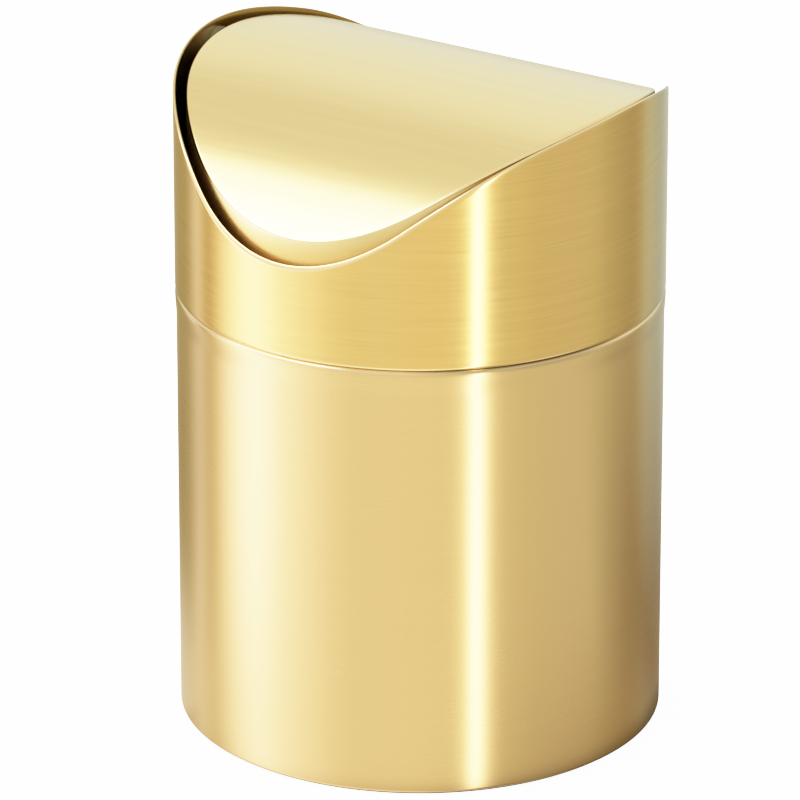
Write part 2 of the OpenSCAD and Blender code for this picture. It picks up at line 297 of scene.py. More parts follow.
def arched_lid_tree():
    """The lid's shell. A row's point holds its share s, its kind (0 top, 1 shoulder, 2 skirt)
    and its depth inside the outer face."""
    group, tree, rows, given = new_geometry_tree("arched_lid", [
        ("Sides", "NodeSocketInt", SIDES), ("Radius", "NodeSocketFloat", LID_R * MM),
        ("Top", "NodeSocketFloat", LID_TOP * MM),
        ("Crown radius", "NodeSocketFloat", CROWN_R * MM),
        ("Crown angle", "NodeSocketFloat", math.radians(CROWN_ANGLE)),
        ("Haunch radius", "NodeSocketFloat", HAUNCH_R * MM),
        ("Leg angle", "NodeSocketFloat", math.radians(LID_LEG)),
        ("Leg curl", "NodeSocketFloat", LEG_CURL / MM),
        ("Shoulder radius", "NodeSocketFloat", LID_SHOULDER_R * MM),
        ("Skirt height", "NodeSocketFloat", LID_SKIRT_H * MM),
        ("Material", "NodeSocketMaterial", None)])
    sheet, turn, (s, kind, inset) = grid_of_rows(tree, rows, given["Sides"])
    arcs = [given[n] for n in ("Crown radius", "Crown angle", "Haunch radius", "Leg angle",
                               "Leg curl")]
    r, c, top = given["Radius"] - inset, given["Shoulder radius"] - inset, given["Top"]
    lean = turn.sin()
    edge_drop, edge_slope = arch(tree, r * lean, *arcs, inset)
    tilt = (edge_slope.tan() * abs(lean)).atan()
    top_r = (r - c + c * tilt.sin()) * s
    top_drop, _ = arch(tree, top_r * lean, *arcs, inset)
    round_angle = (math.pi / 2 - tilt) * (1 - s)
    shoulder_foot = top - edge_drop - c * (1 - tilt.sin()) / tilt.cos()
    hem_drop, _ = arch(tree, given["Radius"] * lean, *arcs[:-1])
    hem = top - hem_drop - given["Skirt height"]
    on_top, on_skirt = kind < 0.5, kind > 1.5
    on_shoulder = 1 - on_top - on_skirt
    radius = (on_top * top_r + on_shoulder * (r - c + c * round_angle.cos()) + on_skirt * r)
    height = (on_top * (top - top_drop)
              + on_shoulder * (shoulder_foot + c * round_angle.sin())
              + on_skirt * (hem + s * (shoulder_foot - hem)))
    place = tree.node("ShaderNodeCombineXYZ", None,
                      {0: radius * turn.cos(), 1: radius * lean, 2: height})
    depth = tree.node("GeometryNodeStoreNamedAttribute", {"data_type": "FLOAT", "domain": "POINT"},
                      {"Geometry": sheet, "Name": "depth"})
    tree.join(on_skirt * (shoulder_foot - height), depth.inputs["Value"])
    finish_tree(tree, depth.outputs[0], place.outputs[0], given["Material"])
    return group


def build(name, group, rows, settings):
    """One plain mesh from a tree and its rows of (x, y, z, inside, polish)."""
    mesh = bpy.data.meshes.new(name + "_rows")
    mesh.from_pydata([r[:3] for r in rows], [(i, i + 1) for i in range(len(rows) - 1)], [])
    for column, label in ((3, "inside"), (4, "polish")):
        layer = mesh.attributes.new(label, "FLOAT", "POINT")
        layer.data.foreach_set("value", [float(r[column]) for r in rows])
    source = bpy.data.objects.new(name + "_rows", mesh)
    bpy.context.scene.collection.objects.link(source)
    modifier = source.modifiers.new("shape", "NODES")
    modifier.node_group = group
    ids = {i.name: i.identifier for i in group.interface.items_tree if i.in_out == "INPUT"}
    for label, value in settings.items():
        modifier[ids[label]] = value
    graph = bpy.context.evaluated_depsgraph_get()
    plain = bpy.data.meshes.new_from_object(source.evaluated_get(graph))
    plain.name = name
    source.modifiers.remove(modifier)
    bpy.data.objects.remove(source)
    bpy.data.meshes.remove(mesh)
    face_outward(plain)
    piece = bpy.data.objects.new(name, plain)
    bpy.context.scene.collection.objects.link(piece)
    return piece


def face_outward(mesh):
    """Turns the faces of a closed mesh outwards."""
    work = bmesh.new()
    work.from_mesh(mesh)
    bmesh.ops.recalc_face_normals(work, faces=work.faces)
    work.to_mesh(mesh)
    work.free()


def place_piece(piece, body, node):
    """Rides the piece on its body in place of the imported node."""
    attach(piece, body)
    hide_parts(node)


# ---------------------------------------------------------------- turned profiles
def arc(cx, cz, r, a0, a1, steps=10):
    """Points of an arc about (cx, cz), angles in degrees."""
    angles = [math.radians(a0 + (a1 - a0) * i / steps) for i in range(steps + 1)]
    return [(cx + r * math.cos(a), cz + r * math.sin(a)) for a in angles]


def run(p, q, steps):
    """Points between p and q, both left out."""
    return [(p[0] + (q[0] - p[0]) * i / steps, p[1] + (q[1] - p[1]) * i / steps)
            for i in range(1, steps)]


def eased(points, radius, steps=4):
    """A closed outline with its corners rounded by radius, or less where a side is short."""
    out = []
    n = len(points)
    for i, p in enumerate(points):
        a, b = Vector(points[i - 1]) - Vector(p), Vector(points[(i + 1) % n]) - Vector(p)
        turn = a.angle(b)
        if turn > NEARLY_STRAIGHT:
            out.append(p)
            continue
        reach = min(radius / math.tan(turn / 2), *(side.length * MOST_OF_SIDE for side in (a, b)))
        a0, b0 = Vector(p) + a.normalized() * reach, Vector(p) + b.normalized() * reach
        for k in range(steps + 1):
            t = k / steps
            bend = (1 - t) ** 2 * a0 + 2 * t * (1 - t) * Vector(p) + t ** 2 * b0
            out.append((bend.x, bend.y))
    return out


def flat_rows(outline, inside=0.0):
    """Rows of an outline that no arch lowers."""
    return [(r * MM, 0.0, z * MM, inside, 0.0) for r, z in outline]


def ring_rows(corners, ease):
    """Rows of a closed outline with eased corners."""
    outline = eased(corners, ease)
    return flat_rows(outline + outline[:1])


def turned_foot(r, z, c, w, t, outer):
    """The turned-in lower edge of a sheet wall, w wide and t thick, round a corner of radius c:
    its outer or its inner face."""
    end, e = r - w + HEM_EASE, HEM_EASE
    if outer:
        return [(end, z), *run((end, z), (r - c, z), 3), *arc(r - c, z + c, c, -90, 0)]
    return [*arc(r - c, z + c, c - t, 0, -90), *run((r - c, z + t), (end, z + t), 3),
            (end, z + t), (r - w, z + t - e), (r - w, z + e)]


def can_wall_rows():
    """A straight wall with a turned-in foot, a slight flare under the joint and a rolled lip."""
    flare_foot = SEAM_H - CAN_LIP_R - FLARE_H
    lip = (MOUTH_R - CAN_LIP_R, SEAM_H - CAN_LIP_R)
    flare = [(CAN_R + FLARE * (1 - math.cos(math.pi * i / FLARE_STEPS)) / 2,
              flare_foot + FLARE_H * i / FLARE_STEPS) for i in range(FLARE_STEPS + 1)]
    foot = turned_foot(CAN_R, FOOT_T, CAN_CORNER_R, CAN_FOOT_W, CAN_T, True)
    wall = run(foot[-1], flare[0], CAN_STEPS)
    edge = MOUTH_R - CAN_LIP_W
    outer = foot + wall + flare + arc(*lip, CAN_LIP_R, 0, 90)[1:] + [(edge, SEAM_H)]
    inner = [(edge, SEAM_H - CAN_T), *arc(*lip, CAN_LIP_R - CAN_T, 90, 0)[:-1],
             *[(r - CAN_T, z) for r, z in reversed(flare)],
             *[(r - CAN_T, z) for r, z in reversed(wall)],
             *turned_foot(CAN_R, FOOT_T, CAN_CORNER_R, CAN_FOOT_W, CAN_T, False)]
    rows = [(r * MM, 0.0, z * MM, 0.0, near_roll(z)) for r, z in outer]
    # The inner face gets painted shade
    rows += flat_rows(inner, WALL_PAINTED_SHADE)
    return rows + rows[:1]


def near_roll(z):
    """Rolled edges are rubbed smoother and paler than the brushed wall between them; the paler
    colour is partly a painted highlight.
    """
    foot = FOOT_POLISH - abs(z - FOOT_T) / FOOT_FADE
    mouth = 1 - abs(z - SEAM_H) / MOUTH_FADE
    return max(0.0, foot, mouth)


def collar_rows():
    """The arch lowers the collar's rows by a share that grows from its foot to its rim."""
    low, high = SEAM_H + COLLAR_LIP_R, PEAK_H - RIM_EASE
    foot, foot_in = (turned_foot(COLLAR_R, SEAM_H, COLLAR_LIP_R, COLLAR_LIP_W, COLLAR_T, outer)
                     for outer in (True, False))
    outer = foot + run(foot[-1], (COLLAR_R, high), COLLAR_STEPS)
    rim = (arc(COLLAR_R - RIM_EASE, high, RIM_EASE, 0, 90, RIM_STEPS)
           + arc(COLLAR_IN_R + RIM_EASE, high, RIM_EASE, 90, 180, RIM_STEPS))
    inner = run((COLLAR_IN_R, high), foot_in[0], COLLAR_STEPS) + foot_in
    rim_inside = COLLAR_IN_R + 0.15  # shade is painted on the rim within this radius

    def row(r, z, inside, polish):
        share = max(0.0, min(1.0, (z - low) / (high - low)))
        return (r * MM, share, z * MM, inside, polish)

    rows = [row(r, z, 0.0, near_roll(z)) for r, z in outer]
    # Shade is painted on the rim's inner half and on the inner face
    rows += [row(r, z, 0.0 if r > rim_inside else RIM_PAINTED_SHADE, RIM_POLISH) for r, z in rim]
    rows += [row(r, z, COLLAR_PAINTED_SHADE, 0.0) for r, z in inner]
    return rows + rows[:1]


def base_rows():
    """The pressed bottom, from the middle of its underside round its flange to its upper face."""
    z1, z2 = BASE_Z, BASE_Z + BASE_RISE
    z3 = z2 + BEAD_H
    flange_r = CAN_CORNER_R - CAN_T + BASE_T
    lower = [(BEAD_R, z3), (BEAD_R + BEAD_W, z2), (PANEL_R - BASE_T, z2), (PANEL_R - BASE_T, z1),
             *arc(WALL_IN_R - flange_r, z1 + flange_r, flange_r, -90, 0, 4)]
    upper = [(WALL_IN_R, z1 + BASE_FLANGE_H), (WALL_IN_R - BASE_T, z1 + BASE_FLANGE_H),
             (WALL_IN_R - BASE_T, z1 + BASE_T), (PANEL_R, z1 + BASE_T), (PANEL_R, z2 + BASE_T),
             (BEAD_R + BEAD_W, z2 + BASE_T), (BEAD_R, z3 + BASE_T)]
    circles = [0.0, 6.0, 14.0, 22.0, 30.0]  # rows across the flat middle
    start = [(r, z3) for r in circles]
    end = [(r, z3 + BASE_T) for r in reversed(circles)]
    return flat_rows(start + eased(lower + upper, BASE_EASE) + end, 1.0)


def foot_rows():
    """The sole under the wall, with a rib that rises inside the base's rim."""
    foot_r = CAN_R - FOOT_INSET
    rib_r = min(PANEL_R - BASE_T, CAN_R - CAN_FOOT_W) - RIB_GAP
    rib_top = BASE_Z + BASE_RISE - RIB_GAP
    return ring_rows([(foot_r - FOOT_W, 0), (foot_r, 0), (foot_r, FOOT_T), (rib_r, FOOT_T),
                      (rib_r, rib_top), (rib_r - FOOT_RIB_T, rib_top),
                      (rib_r - FOOT_RIB_T, FOOT_T), (foot_r - FOOT_W, FOOT_T)], FOOT_EASE)


def locating_ring_rows():
    """A sleeve that drops into the mouth, with a flange on the collar's turned-in edge."""
    low, seat = SEAM_H - RING_DROP, SEAM_H + COLLAR_T
    flange_r, top = COLLAR_R - COLLAR_LIP_R, seat + RING_FLANGE_T
    return ring_rows([(RING_R - RING_T, low), (RING_R - RING_LEAD, low), (RING_R, low + RING_LEAD),
                      (RING_R, seat), (flange_r, seat), (flange_r, top), (RING_R - RING_T, top)],
                     RING_EASE)


def lid_rows():
    """Rows over the top, round the shoulder, down the skirt and back up the inner face."""
    top = [(0.0, i / LID_STEPS) for i in range(LID_STEPS + 1)]
    turn = [(1.0, i / SKIRT_STEPS) for i in range(1, SKIRT_STEPS + 1)]
    drop = [(2.0, i / SKIRT_STEPS) for i in range(SKIRT_STEPS - 1, 0, -1)]
    # The rounded lower edge: share of the skirt, and depth into the sheet
    hem = [(0.035, 0.0), (0.012, 0.05), (0.0, 0.14), (0.0, 0.46), (0.012, 0.55), (0.035, LID_T)]
    rows = [(s, kind, 0.0, 0.0, 0.0) for kind, s in top]
    rows += [(s, kind, 0.0, 0.0, SHOULDER_POLISH) for kind, s in turn]
    rows += [(s, kind, 0.0, 0.0, 0.0) for kind, s in drop]
    rows += [(s, 2.0, d * MM, 0.0, HEM_POLISH) for s, d in hem]
    # The inner face gets painted shade
    rows += [(s, kind, LID_T * MM, WALL_PAINTED_SHADE, 0.0) for kind, s in reversed(top + turn + drop)]
    return rows


def drill_for_bushes(lid):
    """Cuts the two bores for the bushes through the skirt."""
    work = bmesh.new()
    bmesh.ops.create_cone(work, cap_ends=True, segments=BORE_SIDES, radius1=BUSH_BORE * MM,
                          radius2=BUSH_BORE * MM, depth=2 * COLLAR_R * MM)
    bmesh.ops.rotate(work, verts=work.verts, cent=(0, 0, 0),
                     matrix=Vector((0, 0, 1)).rotation_difference(Vector((1, 0, 0))).to_matrix())
    bmesh.ops.translate(work, verts=work.verts, vec=(0, 0, PIVOT_Z * MM))
    bar = bpy.data.meshes.new("drill")
    work.to_mesh(bar)
    work.free()
    drill = bpy.data.objects.new("drill", bar)
    bpy.context.scene.collection.objects.link(drill)
    cut = lid.modifiers.new("bores", "BOOLEAN")
    cut.operation, cut.object, cut.solver = "DIFFERENCE", drill, "EXACT"
    graph = bpy.context.evaluated_depsgraph_get()
    drilled = bpy.data.meshes.new_from_object(lid.evaluated_get(graph))
    lid.modifiers.remove(cut)
    drilled.name = lid.data.name
    lid.data = drilled
    bpy.data.objects.remove(drill)


# ---------------------------------------------------------------- finishes
def finish_material(name):
    """An empty material and its tree."""
    material = bpy.data.materials.new(name)
    material.use_nodes = True
    material.node_tree.nodes.clear()
    return material, Tree(material.node_tree)


def surface(tree, fixed, varying):
    """A Principled surface: constants on its own sockets, links for what varies."""
    shader = tree.node("ShaderNodeBsdfPrincipled", None, {**fixed, **varying})
    tree.node("ShaderNodeOutputMaterial", None, {"Surface": shader.outputs[0]})


def noise(tree, coords, scale, detail, roughness=0.55, offset=(0, 0, 0)):
    """Noise round 0, from about -0.5 to 0.5, with its own scale along each axis, per metre."""
    moved = tree.node("ShaderNodeMapping", None,
                      {"Vector": coords, "Location": offset, "Scale": scale})
    return tree.number("ShaderNodeTexNoise", {"noise_dimensions": "3D"},
                       {"Vector": moved.outputs[0], "Scale": 1.0, "Detail": detail,
                        "Roughness": roughness}) - 0.5


def attribute(tree, name):
    return tree.number("ShaderNodeAttribute", {"attribute_name": name}, out="Fac")


def layered(base, *layers):
    """A base value with its layers on it: each is a number and how much of it counts."""
    for layer, amount in layers:
        base = layer * amount + base
    return base


WORN_AND_HIGHLIT_BRASS, WORN_AND_HIGHLIT_GAIN, WORN_AND_HIGHLIT_FROM = (0.94, 0.81, 0.53, 1), 1.3, 0.5  # rolled edges rubbed pale, partly a painted highlight along them
SKIRT_PAINTED_SHADE = (0.94, 0.82, 0.62, 1)  # painted shade low on the lid's skirt
INNER_PAINTED_SHADE = (0.32, 0.39, 0.45)  # painted shade: share of the outer colour that the inner faces keep
# Brushing: scale across it as a share of the finest, scale along it per metre, and offset
FINE, COARSE, SCRATCH = ((1.0, 38.0, (0, 0, 0)), (0.38, 24.0, (3.1, 1.7, 0.4)),
                         (0.8, 22.0, (7.3, 2.9, 5.5)))
SCRATCH_FROM, SCRATCH_FADE = 0.20, 1 / 8  # noise from which a scratch shows, and its soft edge
SCRATCH_GAIN = 8  # depth of the scratches for each unit of the brushing's strength
EDGE_LOSS, INSIDE_LOSS = 0.75, 0.5  # brushing that rubbed edges and inner faces lack
BRUSH_DEPTH = 0.00002  # metres
CLOUD_SCALE, STREAK_SCALE = (16.0, 16.0, 11.0), (7.0, 240.0, 240.0)  # per metre
# Painted shade at the joint, deepest over one stretch of the mouth: its bearing, and the cosine of
# the angle from it where the painted shadow starts, with the rise to its full depth
PAINTED_SHADE_AT, PAINTED_SHADE_FROM, PAINTED_SHADE_FADE = math.radians(-31), 0.87, 0.10
JOINT_PAINTED_SHADE, EXTRA_PAINTED_SHADE = 0.12, 0.85  # painted shadow all round the mouth, and more over that stretch
JOINT_CURVE = 1.3  # how fast the painted shadow gathers towards the joint
SKIRT_SHADE_FADE, SKIRT_ROUGH_FADE = 1 / 330, 1 / 1500  # depths below the shoulder for the painted shade and for the roughness, in metres


def brushed_brass(name, colour, along, across, strength, rough=0.27, stretch=0.9, flare=0.0,
                  joint=False):
    """Brass-coloured sheet brushed one way: fine strands, a few deeper scratches, soft cloudy
    wear, smoother rolled edges that are paler, partly from wear and partly a painted highlight,
    and a plainer inner face darkened with painted shade. Along tells for each axis whether the
    brushing keeps to it, and across is its finest scale, per metre. A flare bends the shading
    outwards down the lid's skirt, by that slope, and paints shade lower down it. A joint has a
    painted shadow at the mouth."""
    material, tree = finish_material(name)
    coords = tree.own_coords()

    def strands(share, long, offset):
        scale = tuple(long if a else across * share for a in along)
        return noise(tree, coords, scale, 1.0, 0.6, offset)

    fine, coarse, scratch = (strands(*kind) for kind in (FINE, COARSE, SCRATCH))
    clouds = noise(tree, coords, CLOUD_SCALE, 3.0, 0.5, (0.3, 0.8, 0.1))
    inside, polish = attribute(tree, "inside"), attribute(tree, "polish")
    if joint:
        # Painted shadow at the joint, deepest over one stretch of the mouth
        x, y, _ = tree.split(coords)
        turned = (x * math.cos(PAINTED_SHADE_AT) + y * math.sin(PAINTED_SHADE_AT)) / (x * x + y * y).sqrt()
        dark = turned.fade(PAINTED_SHADE_FROM, PAINTED_SHADE_FADE) * EXTRA_PAINTED_SHADE + JOINT_PAINTED_SHADE
        inside = inside.math("MAXIMUM", polish ** JOINT_CURVE * dark)
    brush = (fine * 0.6 + coarse * 0.4) * (1 - polish * EDGE_LOSS) * (1 - inside * INSIDE_LOSS)
    deep = (scratch.fade(SCRATCH_FROM, SCRATCH_FADE) * (1 - inside)
            * (strength * SCRATCH_GAIN))
    tone = layered(1.0, (brush, strength), (clouds, 0.05), (deep, -0.05))
    roughness = layered(rough, (brush, strength * 0.6), (clouds, 0.04), (polish, -0.09),
                        (inside, -0.03))
    if flare:
        streaks = noise(tree, coords, STREAK_SCALE, 2.0, 0.5, (0.9, 0.2, 0.6))
        tone = layered(tone, (streaks, 0.07))
    # Rubbed edges turn paler: partly wear, partly a painted highlight
    outer = tree.blend((polish * WORN_AND_HIGHLIT_GAIN - WORN_AND_HIGHLIT_FROM).clamped(), (*colour, 1), WORN_AND_HIGHLIT_BRASS)
    # Painted shade: the inner faces, and the joint where its shadow is painted, take a darker
    # colour
    inner = (*[c * share for c, share in zip(colour, INNER_PAINTED_SHADE)], 1)
    tinted = tree.toned(tree.blend(inside, outer, inner), tone)
    normal = tree.bump(strength * 1.1, BRUSH_DEPTH, fine * 0.6 + coarse * 0.5 - deep * 0.5)
    if flare:
        depth = attribute(tree, "depth")
        # Painted shade lower down the lid's skirt, deeper further below the shoulder
        low = tree.blend(1.0, tinted, SKIRT_PAINTED_SHADE, "MULTIPLY")
        tinted = tree.blend(depth.fade(0.0, SKIRT_SHADE_FADE), tinted, low)
        normal = tree.bump(1.0, 1.0, depth * flare, Normal=normal)
        roughness = layered(roughness, (depth.fade(0.0, SKIRT_ROUGH_FADE), 0.12))
    surface(tree, {"Metallic": 1.0, "Anisotropic": stretch, "Anisotropic Rotation": 0.25,
                   "IOR": 1.5},
            {"Base Color": tinted, "Roughness": roughness, "Normal": normal})
    return material


def pressed_brass(name, colour):
    """The base: dull pressed sheet with faint rings from forming."""
    material, tree = finish_material(name)
    coords = tree.own_coords()
    x, y, _ = tree.split(coords)
    radius = (x * x + y * y).sqrt()
    rings = (radius * 5200.0).sin() * 0.5 + (radius * 1900.0).sin() * 0.5
    grain = noise(tree, coords, (900.0, 900.0, 900.0), 2.0)
    clouds = noise(tree, coords, (30.0, 30.0, 30.0), 3.0, 0.5)
    tone = layered(1.0, (rings, 0.012), (grain, 0.06), (clouds, 0.10))
    surface(tree, {"Metallic": 1.0},
            {"Base Color": tree.toned((*colour, 1), tone),
             "Roughness": layered(0.38, (clouds, 0.12)),
             "Normal": tree.bump(0.25, 0.00003, rings * 0.2 + grain)})
    return material


def moulded(name, colour, rough, pebble, height):
    """Moulded plastic or rubber with a fine texture: its scale per metre, and its height."""
    material, tree = finish_material(name)
    coords = tree.own_coords()
    grain = noise(tree, coords, (pebble, pebble, pebble), 3.0)
    clouds = noise(tree, coords, (60.0, 60.0, 60.0), 2.0)
    tone = layered(1.0, (grain, 0.16), (clouds, 0.12))
    surface(tree, {"Metallic": 0.0, "IOR": 1.5},
            {"Base Color": tree.toned((*colour, 1), tone),
             "Roughness": layered(rough, (grain, 0.2)),
             "Normal": tree.bump(0.4, height, grain)})
    return material


def turned_steel(name, colour):
    """Small turned or stamped steel parts: fine lathe marks about the pivot axis."""
    material, tree = finish_material(name)
    coords = tree.own_coords()
    marks = noise(tree, coords, (9000.0, 250.0, 250.0), 2.0)
    clouds = noise(tree, coords, (400.0, 400.0, 400.0), 2.0)
    tone = layered(1.0, (marks, 0.18), (clouds, 0.10))
    surface(tree, {"Metallic": 1.0},
            {"Base Color": tree.toned((*colour, 1), tone),
             "Roughness": layered(0.3, (marks, 0.12), (clouds, 0.08)),
             "Normal": tree.bump(0.3, 0.00001, marks)})
    return material


# ---------------------------------------------------------------- set: floor, light, camera
CAMERA_AT = Vector((0.91829, -1.37448, 0.73770))
CAMERA_AIM = Vector((-0.00417, -0.00280, 0.07998))
CAMERA_LENS, CAMERA_SENSOR, CAMERA_CLIP = 323.85, 36.0, (0.05, 50.0)


def make_camera():
    data = bpy.data.cameras.new("camera")
    data.lens, data.sensor_width = CAMERA_LENS, CAMERA_SENSOR
    data.clip_start, data.clip_end = CAMERA_CLIP
    camera = bpy.data.objects.new("camera", data)
    camera.location = CAMERA_AT
    camera.rotation_mode = "QUATERNION"
    camera.rotation_quaternion = (CAMERA_AIM - CAMERA_AT).to_track_quat("-Z", "Y")
    bpy.context.scene.collection.objects.link(camera)
    bpy.context.scene.camera = camera


def on_circle(r, k, turns, z):
    """Point k of the equal turns round a circle."""
    return (r * math.cos(math.tau * k / turns), r * math.sin(math.tau * k / turns), z)


FLOOR_FLAT, FLOOR_SWEEP, FLOOR_TURNS = 3.0, 3.0, 96  # radius of the flat, radius of the rise
FLOOR_WHITE, FLOOR_GLOW = (0.86, 0.86, 0.86, 1), 1.9


def make_floor():
    """A wide pale sweep: flat under the can, rising far behind it on every side."""
    rise = [math.radians(a) for a in range(6, 91, 6)]
    profile = [(1.0, 0.0), (FLOOR_FLAT, 0.0)]
    profile += [(FLOOR_FLAT + FLOOR_SWEEP * math.sin(a), FLOOR_SWEEP - FLOOR_SWEEP * math.cos(a))
                for a in rise]
    profile += [(FLOOR_FLAT + FLOOR_SWEEP, 2 * FLOOR_SWEEP)]
    work = bmesh.new()
    turns = FLOOR_TURNS
    centre = work.verts.new((0, 0, 0))
    rings = [[work.verts.new(on_circle(r, k, turns, z)) for k in range(turns)]
             for r, z in profile]
    for k in range(turns):
        n = (k + 1) % turns
        work.faces.new((centre, rings[0][k], rings[0][n]))
        for a, b in zip(rings, rings[1:]):
            work.faces.new((a[k], b[k], b[n], a[n]))
    for face in work.faces:
        face.smooth = True
    mesh = bpy.data.meshes.new("floor")
    work.to_mesh(mesh)
    work.free()
    material, tree = finish_material("floor_white")
    shader = tree.node("ShaderNodeBsdfPrincipled", None,
                       {"Base Color": FLOOR_WHITE, "Roughness": 0.9,
                        "Specular IOR Level": 0.0, "Emission Color": (1, 1, 1, 1),
                        "Emission Strength": FLOOR_GLOW})
    tree.node("ShaderNodeOutputMaterial", None, {"Surface": shader.outputs[0]})
    mesh.materials.append(material)
    floor = bpy.data.objects.new("floor", mesh)
    floor.visible_glossy = False
    floor.visible_diffuse = False
    bpy.context.scene.collection.objects.link(floor)


# Light that the walls reflect, by bearing from the camera's side: degrees to the right, level
LEFT_LIGHT = [(-180, 0.80), (-172, 0.66), (-164, 0.50), (-158, 0.44), (-151, 0.47), (-144, 0.46),
              (-138, 0.54), (-132, 0.88), (-127, 1.12), (-122, 0.80), (-117, 0.60), (-110, 1.06),
              (-104, 1.60), (-97, 2.25), (-90, 2.75), (-83, 2.85), (-76, 2.45), (-67, 1.85),
              (-54, 1.48), (-42, 1.17), (-30, 1.06), (0, 1.05)]
RIGHT_LIGHT = [(0, 1.05), (12.4, 1.04), (19.4, 1.14), (23.7, 1.6), (25.4, 7.2), (27.7, 7.2),
               (29.6, 2.3), (33.4, 1.08), (41, 0.86), (60, 0.75), (80, 0.73), (88, 0.72),
               (98, 0.59), (108, 0.53), (116, 0.47), (122, 0.50), (129, 0.59), (136, 0.56),
               (144, 0.49), (152, 0.49), (162, 0.60), (172, 0.74), (180, 0.80)]
# Its tint, by the same bearing: degrees, green and blue for a red of 1
ROUND_TINT = [(-180, 1.02, 0.9), (-158, 0.95, 0.56), (-150, 0.94, 0.56), (-138, 0.97, 0.66),
              (-132, 1.03, 1.10), (-126, 1.04, 1.25), (-121, 0.94, 0.68), (-115, 0.94, 0.72),
              (-104, 1.02, 1.15), (-85, 1.03, 1.36), (-67, 1.02, 1.19), (-50, 1.0, 1.05),
              (-32, 1.0, 0.94), (-18, 1.0, 0.98), (0, 0.98, 0.90), (18, 1.0, 0.92),
              (26, 1.0, 1.08), (42, 1.03, 0.94), (80, 1.03, 1.02), (98, 1.08, 1.0),
              (110, 1.02, 0.96), (119, 1.0, 0.84), (125, 1.05, 0.94), (130, 1.24, 1.38),
              (148, 1.27, 1.42), (166, 1.2, 1.22), (180, 1.06, 1.0)]
# Light that the lid reflects, by turn about the pivot axis from +Y over the top: degrees, colour
ARCH_LIGHT = [(0, (1.08, 1.20, 1.22)), (22, (1.13, 1.28, 1.35)), (35, (1.22, 1.31, 1.40)),
              (46, (1.26, 1.30, 1.36)), (53, (1.06, 1.07, 1.08)), (60, (1.03, 1.03, 1.03)),
              (94, (1.04, 1.04, 1.04)), (104, (1.16, 1.16, 1.16)), (112, (1.40, 1.40, 1.40)),
              (117.5, (2.0, 2.0, 2.0)), (120.6, (3.2, 3.2, 3.2)), (123.8, (9.0, 9.4, 11.0)),
              (129.3, (9.0, 9.4, 11.0)), (133, (1.5, 1.5, 1.5)), (180, (1.15, 1.15, 1.15))]
SKY_LEVEL, NADIR_LEVEL = 1.1, 2.4
# A flag low on the right shades the joint: its bearing, with the camera's side at 0.5, its reach
# and its soft edge, in turns
SHADE_AT, SHADE_REACH, SHADE_FADE = 0.5 + 54 / 360, 37.5 / 360, 30 / 360
SHADED_SKY, SHADED_NADIR = (0.25, 0.20, 0.10, 1), (0.10, 0.08, 0.04, 1)


def make_light():
    """Soft studio light. The walls mirror a round of levels and tints. The lid mirrors the upper
    left to the camera, where the bands lie; the rest above is plain sky, and below the bench is
    plain light. Fades are over the parts x, y and z of a unit vector."""
    world = bpy.data.worlds.new("studio")
    bpy.context.scene.world = world
    world.use_nodes = True
    world.node_tree.nodes.clear()
    tree = Tree(world.node_tree)
    way = tree.node("ShaderNodeTexCoord").outputs["Generated"]
    x, y, z = tree.split(way)

    def ramp(factor, stops, first, last):
        """A ramp over (angle, colour) stops, scaled so that colours over 1 fit in it."""
        most = max(max(colour) for _, colour in stops)
        places = [((a - first) / (last - first), tuple(c / most for c in colour))
                  for a, colour in stops]
        made = tree.node("ShaderNodeValToRGB", {"interpolation": "EASE", "stops": places},
                         {0: factor})
        scaled = tree.node("ShaderNodeVectorMath", {"operation": "SCALE"}, {0: made.outputs[0]})
        scaled.inputs["Scale"].default_value = most
        return scaled.outputs[0]

    facing = math.atan2(CAMERA_AT.y, CAMERA_AT.x)
    bearing = ((y.math("ARCTAN2", x) - facing) / math.tau + 0.5).math("FRACT")
    halves = [ramp((bearing * 2 - k).clamped(), [(a, (v, v, v)) for a, v in stops],
                   -180 + 180 * k, 180 * k)
              for k, stops in enumerate((LEFT_LIGHT, RIGHT_LIGHT))]
    tint = ramp(bearing, [(a, (1.0, g, b)) for a, g, b in ROUND_TINT], -180, 180)
    around = tree.blend(1.0, tree.blend(bearing > 0.5, *halves), tint, "MULTIPLY")
    over = ramp((z.math("ARCTAN2", y) / math.pi).clamped(), ARCH_LIGHT, 0, 180)
    left = x.fade(-0.12, -0.14) * x.fade(-0.92, 0.10)
    above = (z + (y * 4).clamped() * left * 0.20).fade(0.08, 0.12)
    deep = z.fade(-0.70, -0.25)
    shade = abs(bearing - SHADE_AT).fade(SHADE_REACH, -SHADE_FADE)
    low = z.fade(0.45, -0.3) * (shade * 0.65 + 0.2)
    sky = tree.blend(low, tree.grey(SKY_LEVEL), SHADED_SKY)
    nadir = tree.blend(shade, tree.grey(NADIR_LEVEL), SHADED_NADIR)
    colour = tree.blend(above, around, tree.blend(left, sky, over))
    colour = tree.blend(deep, colour, nadir)
    back = tree.node("ShaderNodeBackground", None, {"Color": colour, "Strength": 1.0})
    tree.node("ShaderNodeOutputWorld", None, {"Surface": back.outputs[0]})


SHEEN_RINGS, SHEEN_TURNS = (0.03, 0.058, 0.062, 0.07, 0.10, 0.16, 0.24, 0.34, 0.46), 64
SHEEN_Z = 0.0002
# Glows of the ring: painted light, painted shade, warm painted shade and a painted shadow at the
# foot
LIT_BENCH, SHADED_BENCH = (1.06, 1.06, 1.0, 1), (0.20, 0.15, 0.09, 1)
WARM_BENCH_SHADE, FOOT_SHADOW = (0.24, 0.14, 0.03, 1), (0.06, 0.045, 0.025, 1)


